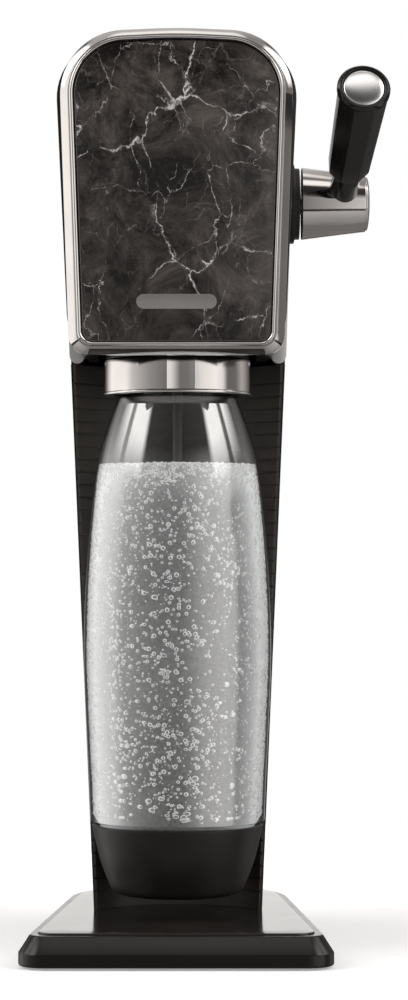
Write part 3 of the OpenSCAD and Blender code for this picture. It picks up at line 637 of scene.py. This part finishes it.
def base_loop(inset, z):
    """The foot's outline: two small front corners and one large round back, in metres."""
    low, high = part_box("base_shell")
    front_r = max(FOOT_FRONT_R - inset, FOOT_LEAST_R)
    rear_r = FOOT_REAR_R - inset
    cx = FOOT_HALF - inset - front_r
    cy = low.y + inset + front_r
    rear_y = high.y - inset - rear_r
    run = Vector((cx, cy - rear_y))
    lean = math.atan2(run.y, run.x) + math.acos((rear_r - front_r) / run.length)
    sweeps = [(cx, cy, front_r, -math.pi / 2, lean, 12), (0, rear_y, rear_r, lean, math.pi - lean, 64),
              (-cx, cy, front_r, math.pi - lean, 1.5 * math.pi, 12)]
    return [Vector((x + r * math.cos(a + (b - a) * i / n), y + r * math.sin(a + (b - a) * i / n), z))
            for x, y, r, a, b, n in sweeps for i in range(n + 1)]


def make_base():
    """The foot: an upright band, a chamfer up to a narrow rim, and a pocket that the drip plate lies in."""
    low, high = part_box("base_shell")
    band = 6.8 * MM
    rim = high.z
    pocket = 12.6 * MM
    pocket_under = pocket - 2.4 * MM
    section = softened(
        [(6 * MM, low.z + 3.2 * MM), (4 * MM, low.z + 2.2 * MM), (4 * MM, low.z), (0, low.z), (0, band),
         (5 * MM, rim), (7 * MM, rim)], 1.1 * MM, 5)
    section += softened(
        [(7.5 * MM, rim), (8.45 * MM, rim), (8.45 * MM, pocket), (30 * MM, pocket), (30 * MM, pocket_under),
         (6 * MM, pocket_under)], 0.25 * MM, 4)
    loops = [base_loop(inset, z) for inset, z in section]
    settle(loft("base_shell_moulding", loops, ring=True, sharp=40), "root", "satin_black",
           LOOKS["base_black"], "base_shell")


def make_drip_plate():
    low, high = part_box("drip_plate")
    edge = 8.75 * MM
    section = softened([(edge, low.z), (edge, high.z), (20 * MM, high.z)], 0.2 * MM, 4)
    settle(loft("drip_plate_gloss", [base_loop(inset, z) for inset, z in section]), "root", "drip_gloss",
           LOOKS["drip_gloss"], "drip_plate")


def make_feet():
    settle(refined("rubber_feet", 0.5 * MM), "root", "rubber", LOOKS["rubber"], "rubber_feet")


# ---------- lever ----------

SHAFT = Vector(JOINTS["lever_pull"]["pos_m"])
ALONG_X = Matrix.Translation(SHAFT) @ Matrix.Rotation(math.pi / 2, 4, "Y")
# the lever starts on the hub's axis, and these places are measured along it from there
LEVER_ROOT = Vector((79 * MM, SHAFT.y, SHAFT.z))
LEVER_RISE = math.radians(23)
LEVER_LEAN = math.radians(3.4)
GRIP_START = 34 * MM
LEVER_LENGTH = 105 * MM
ALONG_LEVER = (Matrix.Translation(LEVER_ROOT) @ Matrix.Rotation(LEVER_LEAN, 4, "Z")
               @ Matrix.Rotation(math.pi / 2 - LEVER_RISE, 4, "X"))


def dome(rim, base, edge, rise):
    """A profile for a disc with an upright edge and a shallow domed face."""
    quarter = [math.radians(a) for a in range(0, 91, 6)]
    face = [Vector((rim * math.cos(a), base + edge + rise * math.sin(a))) for a in quarter]
    return [Vector((0, base)), Vector((rim, base))] + face


def make_hub():
    """The tapered chrome hub on the end of the shaft, and its domed cap."""
    low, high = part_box("lever_hub")
    start, end = low.x, high.x
    wide, narrow = 17.8 * MM, 13.7 * MM
    profile = softened(
        [(0, start), (wide - 1.2 * MM, start), (wide, start + 0.6 * MM), (narrow, end), (0, end)], 0.45 * MM)
    settle(lathe("hub_body", profile, ALONG_X), "lever", "satin_chrome", LOOKS["hub_chrome"], "lever_hub")
    edge = 0.5 * MM
    cap = dome(narrow - 0.6 * MM, end, edge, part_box("hub_cap")[1].x - end - edge)
    settle(lathe("hub_end_dome", cap, ALONG_X, sharp=50), "lever", "satin_chrome", LOOKS["chrome"], "hub_cap")


def make_collar():
    """The stepped rubber collar between the casing and the hub."""
    low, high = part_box("lever_collar")
    radius = (high.z - low.z) / 2
    bore = 5.6 * MM
    face = high.x - 0.8 * MM
    profile = softened(
        [(bore, low.x), (radius, low.x), (radius, low.x + 3.4 * MM), (radius - 2 * MM, low.x + 3.6 * MM),
         (radius - 2 * MM, high.x), (radius - 5 * MM, high.x), (radius - 5.6 * MM, face), (bore, face)],
        0.6 * MM)
    settle(lathe("lever_collar_boot", profile, ALONG_X, ring=True), "root", "rubber", LOOKS["rubber"],
           "lever_collar")


def octagon_loop(radius, height, soft):
    """An eight-sided loop with rounded corners, across the lever."""
    turns = [math.radians(22.5 + 45 * i) for i in range(8)]
    points = [(radius * math.cos(a), radius * math.sin(a)) for a in turns]
    return [ALONG_LEVER @ Vector((p.x, p.y, height)) for p in rounded(points, [soft] * 8, 4)]


def make_neck():
    """The round stem between hub and grip."""
    stem = 7 * MM
    foot = 11 * MM
    top = GRIP_START + 0.4 * MM
    neck = softened([(0, foot), (stem, foot), (stem - 0.3 * MM, GRIP_START - 4 * MM), (stem, top), (0, top)],
                    0.4 * MM)
    settle(lathe("neck_stem", neck, ALONG_LEVER, 64), "lever", "gloss_black", LOOKS["gloss_black"],
           "lever_neck")


def make_grip():
    """The eight-sided grip, which widens to a round end ring with a bright disc in it."""
    start, end = GRIP_START, LEVER_LENGTH
    narrow, wide = 10.3 * MM, 12.0 * MM
    lead_in = [(0, 2.4), (0.3, 1.3), (1.2, 0.35), (2.6, 0)]
    stations = [(start + rise * MM, narrow - inset * MM) for rise, inset in lead_in]
    low, high = stations[-1][0], end - 3.6 * MM
    stations += [(low + (high - low) * i / 8, narrow + (wide - narrow) * i / 8) for i in range(1, 9)]
    loops = [octagon_loop(r, z, 1.3 * MM) for z, r in stations]
    settle(loft("grip_body", loops, sharp=20), "lever", "gloss_black", LOOKS["grip_black"], "lever_grip")
    outer, bore = 12.2 * MM, 9.55 * MM
    ring = softened(
        [(bore, end - 4.4 * MM), (outer - 0.8 * MM, end - 4.4 * MM), (outer, end - 3.6 * MM),
         (outer, end - 2 * MM), (outer - 1.3 * MM, end - 0.5 * MM), (9.7 * MM, end - 0.7 * MM),
         (bore, end - 1.6 * MM)], 0.6 * MM)
    settle(lathe("grip_end_ring", ring, ALONG_LEVER, 96, ring=True), "lever", "gloss_black",
           LOOKS["gloss_black"])
    disc = dome(9.4 * MM, end - 2.5 * MM, 0.9 * MM, 1.5 * MM)
    settle(lathe("grip_end_disc", disc, ALONG_LEVER, 96, sharp=50), "lever", "satin_chrome",
           LOOKS["disc_chrome"], "grip_cap")


# ---------- bottle ----------

BOTTLE_LOW, BOTTLE_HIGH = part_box("bottle")
BOTTLE_Y = (BOTTLE_LOW.y + BOTTLE_HIGH.y) / 2
BOTTLE_AXIS = Matrix.Translation((0, BOTTLE_Y, 0))
CUP_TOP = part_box("bottle_base")[1].z
WATER_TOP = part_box("sparkling_water")[1].z
WALL = 1.0 * MM
WATER_GAP = 0.55 * MM
BUBBLE_GAP = 0.1 * MM
# outer radius and height up the bottle, in millimetres, from the cup to the neck
BOTTLE = [(40.3, 60), (40.9, 78), (41.9, 98), (43.3, 134), (42.6, 167), (40.3, 200), (36.6, 228),
          (28.1, 255), (21.5, 268), (19, 276)]
# the same for the bottle's foot, which stands in the cup, and for the outside of the cup
FOOT = [(24, 30), (28, 31), (32.5, 36), (35.2, 46), (36.6, 58.6)]
CUP = [(28.5, 26.6), (31, 29.3), (35.2, 40), (37.6, 49), (39.4, 57.4)]


def side_of(points, steps=5):
    """A smooth wall, in metres, through points listed in millimetres."""
    return spline([Vector(p) * MM for p in points], steps)


OUTER = side_of(BOTTLE)


def radius_at(z, inset):
    """The bottle's radius at one height, less a distance."""
    for low, high in zip(OUTER, OUTER[1:]):
        if low.y <= z <= high.y:
            return low.x + (high.x - low.x) * (z - low.y) / (high.y - low.y) - inset
    return (OUTER[0] if z < OUTER[0].y else OUTER[-1]).x - inset


def make_bottle():
    """The clear bottle, with a collar on its neck; the faces of its inside get a quieter look."""
    neck_r = OUTER[-1].x
    collar_r = neck_r + 0.6 * MM
    top = BOTTLE_HIGH.z
    floor = 1.8 * MM
    foot = side_of(FOOT, 3)
    neck = [(neck_r, top - 13 * MM), (collar_r, top - 11.6 * MM), (collar_r, top - 10.2 * MM),
            (neck_r, top - 9 * MM), (neck_r, top - 0.5 * MM), (neck_r - 0.5 * MM, top),
            (neck_r - WALL, top - 0.2 * MM)]
    inner = []
    for point in reversed(foot + OUTER):
        lift = floor if point.y < 45 * MM else 0
        inner.append(Vector((max(point.x - WALL, 0), point.y + lift)))
    profile = [Vector((0, BOTTLE_LOW.z))] + foot + OUTER + [Vector(p) for p in neck] + inner
    profile.append(Vector((0, BOTTLE_LOW.z + floor)))
    body = settle(lathe("bottle_body", profile, BOTTLE_AXIS, 144, sharp=50), "bottle_group", "clear_plastic",
                  LOOKS["clear_plastic"], "bottle")
    body.data.materials.append(LOOKS["wall_inside"])
    for face in body.data.polygons:
        outward = Vector((face.center.x, face.center.y - BOTTLE_Y, 0))
        face.material_index = 1 if face.normal.dot(outward) < 0 else 0


def make_cup():
    """The black cup under the bottle, hollowed below and open above."""
    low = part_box("bottle_base")[0].z
    wall = side_of(CUP, 6)
    rim = wall[-1].x
    hollow = low + 1.2 * MM
    profile = softened(
        [(0, hollow), (21 * MM, hollow), (22.5 * MM, low), (26 * MM, low), wall[0]], 1.2 * MM)
    profile += wall[1:]
    profile += [Vector((rim, CUP_TOP - 0.25 * MM)), Vector((rim - 0.3 * MM, CUP_TOP)),
                Vector((rim - 2.1 * MM, CUP_TOP))]
    profile += side_of([(37.1, 56), (36.6, 50), (33.4, 36), (29, 30.2)], 3)
    profile.append(Vector((0, 29.7 * MM)))
    settle(lathe("bottle_cup", profile, BOTTLE_AXIS, 144, sharp=40), "bottle_group", "satin_black",
           LOOKS["cup_black"], "bottle_base")


def make_water():
    """The water: a body a little smaller than the bottle's inside, with a soft upper edge."""
    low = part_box("sparkling_water")[0].z
    top = WATER_TOP - 0.8 * MM
    inset = WALL + WATER_GAP
    side = [Vector((p.x - inset, p.y)) for p in OUTER if p.y < top - 2 * MM]
    edge = radius_at(top, inset)
    start = side_of([(26, 34), (30, 38), (32.4, 46), (34.8, 56)], 3)
    surface = [Vector((edge, top - 0.6 * MM)), Vector((edge - 0.6 * MM, top)), Vector((0, top))]
    profile = [Vector((0, low + 0.6 * MM))] + start + side[1:] + surface
    settle(lathe("water_body", profile, BOTTLE_AXIS, 144, sharp=50), "bottle_group", "water", LOOKS["water"],
           "sparkling_water")


def sphere_template(level):
    """The points and faces of a unit sphere."""
    bm = bmesh.new()
    bmesh.ops.create_icosphere(bm, subdivisions=level, radius=1)
    points = [v.co.copy() for v in bm.verts]
    faces = [tuple(v.index for v in f.verts) for f in bm.faces]
    bm.free()
    return points, faces


def scatter(name, places, level, look):
    """One mesh of many flattened spheres; a place is (angle, radius, height, depth, width, rise)."""
    points, faces = sphere_template(level)
    verts = []
    polys = []
    for angle, radius, height, depth, width, rise in places:
        out = Vector((math.sin(angle), -math.cos(angle), 0)) * depth
        side = Vector((math.cos(angle), math.sin(angle), 0)) * width
        over = Vector((0, 0, rise))
        centre = Vector((math.sin(angle) * radius, BOTTLE_Y - math.cos(angle) * radius, height))
        start = len(verts)
        verts += [centre + out * p.x + side * p.y + over * p.z for p in points]
        polys += [tuple(start + i for i in f) for f in faces]
    mesh = bpy.data.meshes.new(name)
    mesh.from_pydata(verts, [], polys)
    return settle(finish_mesh(name, mesh, 180), "bottle_group", "water", look)


def bubble_places(draw, count, heights, bias, crowd, size, bulge, thickest, squat):
    """Places just inside the wall; crowd says whether an angle and height get a bubble, size its width."""
    low, high = heights
    places = []
    while len(places) < count:
        z = low + (high - low) * draw.random() ** bias
        a = draw.uniform(-math.pi, math.pi)
        if not crowd(a, z):
            continue
        width = MM * size()
        depth = min(width * bulge, thickest * MM)
        r = radius_at(z, WALL + BUBBLE_GAP) - depth
        places.append((a, r, z, depth, width, width * draw.uniform(*squat)))
    return places


def make_bubbles():
    """Gas bubbles just inside the wall, in drifts: fine and middling ones, and large flat ones below."""
    draw = random.Random(11)
    low, high = 61 * MM, WATER_TOP - 3 * MM

    def fine_crowd(a, z):
        drift = noise.noise(Vector((a * 1.8, z * 24, 3.1))) + 0.7 * noise.noise(Vector((a * 6, z * 70, 7.7)))
        return drift >= draw.uniform(-0.7, 0.25)

    def middling_crowd(a, z):
        return noise.noise(Vector((a * 2.5, z * 40, 5.3))) >= draw.uniform(-0.6, 0.1)

    fine = bubble_places(draw, 5500, (low, high), 0.8, fine_crowd,
                         lambda: min(0.26 + draw.expovariate(6.5), 0.7), 0.4, 0.3, (0.8, 1.0))
    middling = bubble_places(draw, 3600, (low + 2 * MM, high + 2 * MM), 0.9, middling_crowd,
                             lambda: min(0.62 + draw.expovariate(3.6), 1.35), 0.4, 0.38, (0.85, 1.0))
    large = bubble_places(draw, 350, (low + 2 * MM, high - 43 * MM), 1.8, lambda a, z: True,
                          lambda: draw.uniform(0.8, 1.8), 1.0, 0.4, (0.5, 0.78))
    scatter("fine_bubbles", fine, 1, LOOKS["fizz"])
    scatter("middling_bubbles", middling, 1, LOOKS["bubble"])
    scatter("large_bubbles", large, 2, LOOKS["bubble"])


def make_foam():
    """A broken ring of froth where the water meets the wall, thickest in front."""
    draw = random.Random(5)
    froth = []
    while len(froth) < 900:
        a = draw.uniform(-math.pi, math.pi)
        patch = 0.5 + 0.5 * noise.noise(Vector((a * 2.3, 0.4, 9.2)))
        drop = draw.random() ** 1.6 * (3 + 11 * patch * max(math.cos(a), 0.1)) * MM
        size = MM * draw.uniform(0.4, 1.15)
        z = WATER_TOP - 1.0 * MM - drop
        depth = min(size * 0.5, 0.42 * MM)
        froth.append((a, radius_at(z, WALL + BUBBLE_GAP) - depth, z, depth, size, size * 0.85))
    for _ in range(160):
        a = draw.uniform(-math.pi, math.pi)
        size = MM * draw.uniform(0.5, 1.2)
        r = radius_at(WATER_TOP, WALL + 0.3 * MM) - size - draw.random() ** 2 * 8 * MM
        froth.append((a, r, WATER_TOP - 0.8 * MM, size, size, size * 0.7))
    scatter("foam", froth, 1, LOOKS["foam"])


# ---------- bottle holder ----------


def arc_strip(name, section, start, end, steps, node, hollow=0.0):
    """Sweeps a section of (radius, height) round the bottle's axis; hollow dishes its outer face."""
    inner = min(p.x for p in section)
    loops = []
    for i in range(steps + 1):
        a = start + (end - start) * i / steps
        dish = hollow * (1 - (2 * i / steps - 1) ** 2)
        loop = []
        for point in section:
            r = point.x - (dish if point.x > inner + 1 * MM else 0)
            loop.append(Vector((r * math.cos(a), BOTTLE_Y + r * math.sin(a), point.y)))
        loops.append(loop)
    settle(loft(name, loops, sharp=40), "holder", "satin_chrome", LOOKS["satin_chrome"], node)


def make_ring():
    """The chrome ring, broken in front by a narrower clip with a dished face, on a thin lip."""
    low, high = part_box("holder_ring")
    outer = (high.x - low.x) / 2 - 0.5 * MM
    inner = outer - 3 * MM
    lip = low.z + 1.2 * MM
    band = rounded([(inner, lip), (outer, lip), (outer, high.z), (inner, high.z)],
                   [0.1 * MM, 0.45 * MM, 0.7 * MM, 0.1 * MM], 4)
    middle = math.radians(-90 + 2.8)
    half = math.radians(10.4)
    slit = math.radians(0.45)
    reach = half + slit
    arc_strip("ring_band", band, middle + reach, middle - reach + 2 * math.pi, 140, "holder_ring")
    arc_strip("ring_front_clip", band, middle - half, middle + half, 24, "ring_clip", 1.75 * MM)
    lip_in, lip_out = inner - 1.5 * MM, outer + 0.5 * MM
    edge = softened([(lip_in, low.z), (lip_out, low.z), (lip_out, lip), (lip_in, lip)], 0.4 * MM)
    settle(lathe("ring_lip", edge, BOTTLE_AXIS, 144, ring=True), "holder", "satin_chrome",
           LOOKS["satin_chrome"])


# ---------- shells and inner pieces that keep their CAD shape ----------


def make_spring():
    """The return spring: it stands on the chassis."""
    bm = bmesh.new()
    bm.from_mesh(frame["nodes"]["pusher_spring"].data)
    bmesh.ops.remove_doubles(bm, verts=bm.verts, dist=1e-6)
    spring = settle(from_bmesh("return_spring", bm), "root", slot_of("pusher_spring"), LOOKS["steel"],
                    "pusher_spring")
    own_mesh(spring)


# CAD nodes drawn as copies with rounded edges, and the rounding of each in millimetres
SHELLS = {
    "tower_shell": 0.8, "side_band": 2.3, "head_casing": 0.7, "rear_cover": 0.7, "cover_button": 0.6,
    "holder_frame": 0.5, "nozzle_carrier": 0.5, "chassis": 0.5,
    "valve_block": 0.4, "clamp_handle": 0.8, "clamp_collar": 0.4, "cam": 0.4, "pusher_yoke": 0.4,
    "cylinder_valve": 0.4, "relief_valve": 0.3, "hose_fitting": 0.3, "shaft_bushes": 0.3, "lever_shaft": 0.4,
    "base_cover": 0.4, "base_screws": 0.3, "cylinder_seat": 0.5, "bottle_seal": 0.5,
}


def body_of(node):
    """The moving body that a node rides on."""
    for body, members in frame["record"]["behaviour"]["bodies"].items():
        if node in members:
            return body
    return "root"


def slot_of(node):
    """The material slot that the record gives a node."""
    for part in frame["record"]["subparts"]:
        if part["node"] == node:
            return part["material_slot"]
    return None


# nodes whose look differs from their slot's own; the splash panel and nozzle tube take black plastic painted
# lighter in place of light
SPECIAL_LOOKS = {"splash_panel": "black_painted_lighter", "nozzle_tube": "black_painted_lighter", "side_band": "band_chrome"}


def look_of(node):
    return LOOKS[SPECIAL_LOOKS.get(node, slot_of(node))]


def make_shells():
    for node, radius in SHELLS.items():
        settle(refined(node, radius * MM), body_of(node), slot_of(node), look_of(node), node)


def dress_the_rest():
    """Gives each CAD node that still shows its slot's procedural look."""
    replaced = {n for o in bpy.data.objects for n in list(o.get("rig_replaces", []))}
    for node, piece in frame["nodes"].items():
        if node in replaced:
            continue
        piece.data.materials.clear()
        piece.data.materials.append(look_of(node))


# ---------- studio ----------


def make_floor():
    """A pale floor that looks white, throws a little less light back and isn't mirrored in gloss."""
    bm = bmesh.new()
    bmesh.ops.create_circle(bm, cap_ends=True, radius=0.6, segments=96)
    floor = from_bmesh("studio_floor", bm)
    s = Shader("pale_floor")
    s.link(s.ramp(s.noise(3, 3), [(0.3, 0.93), (0.7, 0.95)]), s.bsdf.inputs["Base Color"])
    s.set(Roughness=0.9, Specular_IOR_Level=0.1)
    dim = s.add("ShaderNodeBsdfDiffuse")
    dim.inputs["Color"].default_value = (0.40, 0.39, 0.385, 1)
    path = s.add("ShaderNodeLightPath")
    s.blend(path.outputs["Is Camera Ray"], dim, s.bsdf)
    s.set(Emission_Color=(1.0, 1.0, 1.0), Emission_Strength=0.3)
    floor.data.materials.append(s.material)
    floor.visible_glossy = False


def make_world():
    """A studio as a sky, drawn by bearing and height: dark behind the camera, tall soft panels each side."""
    world = bpy.data.worlds.new("studio")
    bpy.context.scene.world = world
    world.use_nodes = True
    tree = world.node_tree
    tree.nodes.clear()
    s = Nodes(tree, tree.nodes.new("ShaderNodeOutputWorld"))

    def ramp(value, *stops):
        """Slightly warm greys given against a value."""
        return s.ramp(value, [(position, (grey, grey * 0.975, grey * 0.955)) for position, grey in stops])

    def round_about(*stops):
        """Greys given against degrees to the right of the camera's side."""
        return ramp(bearing, *[(0.5 + degrees / 360, grey) for degrees, grey in stops])

    direction = s.add("ShaderNodeSeparateXYZ")
    s.link(s.add("ShaderNodeTexCoord").outputs["Generated"], direction.inputs[0])
    east, north, up = direction.outputs
    down = s.math("SUBTRACT", 0.0, up)
    turn = s.math("ARCTAN2", east, s.math("MULTIPLY", north, -1))
    bearing = s.math("ADD", s.math("DIVIDE", turn, 2 * math.pi), 0.5)

    level = round_about((-180, 0.36), (-174, 0.30), (-168, 0.03), (-146, 0.03), (-124, 0.33), (-86, 0.32),
                        (-74, 0.19), (-44, 0.10), (-20, 0.06), (6, 0.055), (18, 0.12), (36, 0.26),
                        (62, 0.33), (76, 0.27), (84, 0.045), (104, 0.05), (120, 0.14), (146, 0.03),
                        (168, 0.03), (174, 0.30), (180, 0.36))
    panels = round_about((-180, 0.25), (-168, 0.10), (-118, 0.03), (-107, 0.6), (-96, 1.0), (-92.5, 0.24),
                         (-87, 0.24), (-83.5, 1.0), (-57, 1.0), (-50, 0.01), (0, 0.005), (50, 0.01),
                         (57, 1.0), (82.5, 1.0), (85.5, 0.11), (91, 0.11), (94, 1.0), (106, 0.6),
                         (116, 0.03), (168, 0.10), (180, 0.25))
    sky = s.mix(ramp(up, (0.25, 0.0), (0.50, 1.0)), level, panels)
    flag = s.math("MULTIPLY", round_about((72, 0.0), (80, 1.0), (100, 1.0), (108, 0.0)),
                  ramp(up, (0.136, 0.0), (0.142, 1.0), (0.178, 1.0), (0.184, 0.0)))
    sky = s.mix(flag, sky, (0.006, 0.006, 0.006))
    overhead = round_about((-180, 0.16), (-120, 0.13), (-60, 0.07), (-40, 0.36), (40, 0.36), (60, 0.06),
                           (120, 0.08), (180, 0.16))
    sky = s.mix(ramp(up, (0.79, 0.0), (0.85, 1.0)), sky, overhead)
    zenith = round_about((-180, 0.32), (-110, 0.26), (-70, 0.06), (70, 0.06), (110, 0.26), (180, 0.32))
    sky = s.mix(ramp(up, (0.945, 0.0), (0.97, 1.0)), sky, zenith)
    horizon = ramp(down, (0.38, 0.0), (0.41, 1.0))
    sky = s.mix(horizon, sky, (0.004, 0.004, 0.004))
    ahead = ramp(down, (0.50, 0.155), (0.70, 0.125), (0.93, 0.085), (0.985, 0.055))
    behind = round_about((-100, 1.0), (-80, 0.0), (80, 0.0), (100, 1.0))
    ground = s.mix(behind, ahead, (0.055, 0.0535, 0.052))
    sky = s.mix(ramp(down, (0.49, 0.0), (0.52, 1.0)), sky, ground)

    studio = s.add("ShaderNodeBackground")
    studio.inputs["Strength"].default_value = 4.0
    s.link(sky, studio.inputs["Color"])
    plain = s.add("ShaderNodeBackground")
    plain.inputs["Color"].default_value = (1, 1, 1, 1)
    s.blend(s.add("ShaderNodeLightPath").outputs["Is Camera Ray"], studio, plain)


def make_camera():
    """The photo's view: level, from about the height of the bottle's middle, a little right of centre."""
    data = bpy.data.cameras.new("camera")
    data.sensor_width = 36
    data.lens = 100.8
    data.shift_y = 0.065
    data.clip_end = 30
    camera = bpy.data.objects.new("camera", data)
    camera.location = (0.0123, -1.332, 0.178)
    camera.rotation_euler = (math.pi / 2, 0, 0)
    bpy.context.scene.collection.objects.link(camera)
    bpy.context.scene.camera = camera


bpy.context.scene.view_settings.view_transform = "Standard"
make_camera()
make_world()
make_floor()
make_bezel()
make_front_panel()
make_head_shell()
make_underplate()
make_badge()
make_base()
make_drip_plate()
make_feet()
make_hub()
make_collar()
make_neck()
make_grip()
make_bottle()
make_cup()
make_water()
make_bubbles()
make_foam()
make_ring()
make_spring()
make_shells()
dress_the_rest()
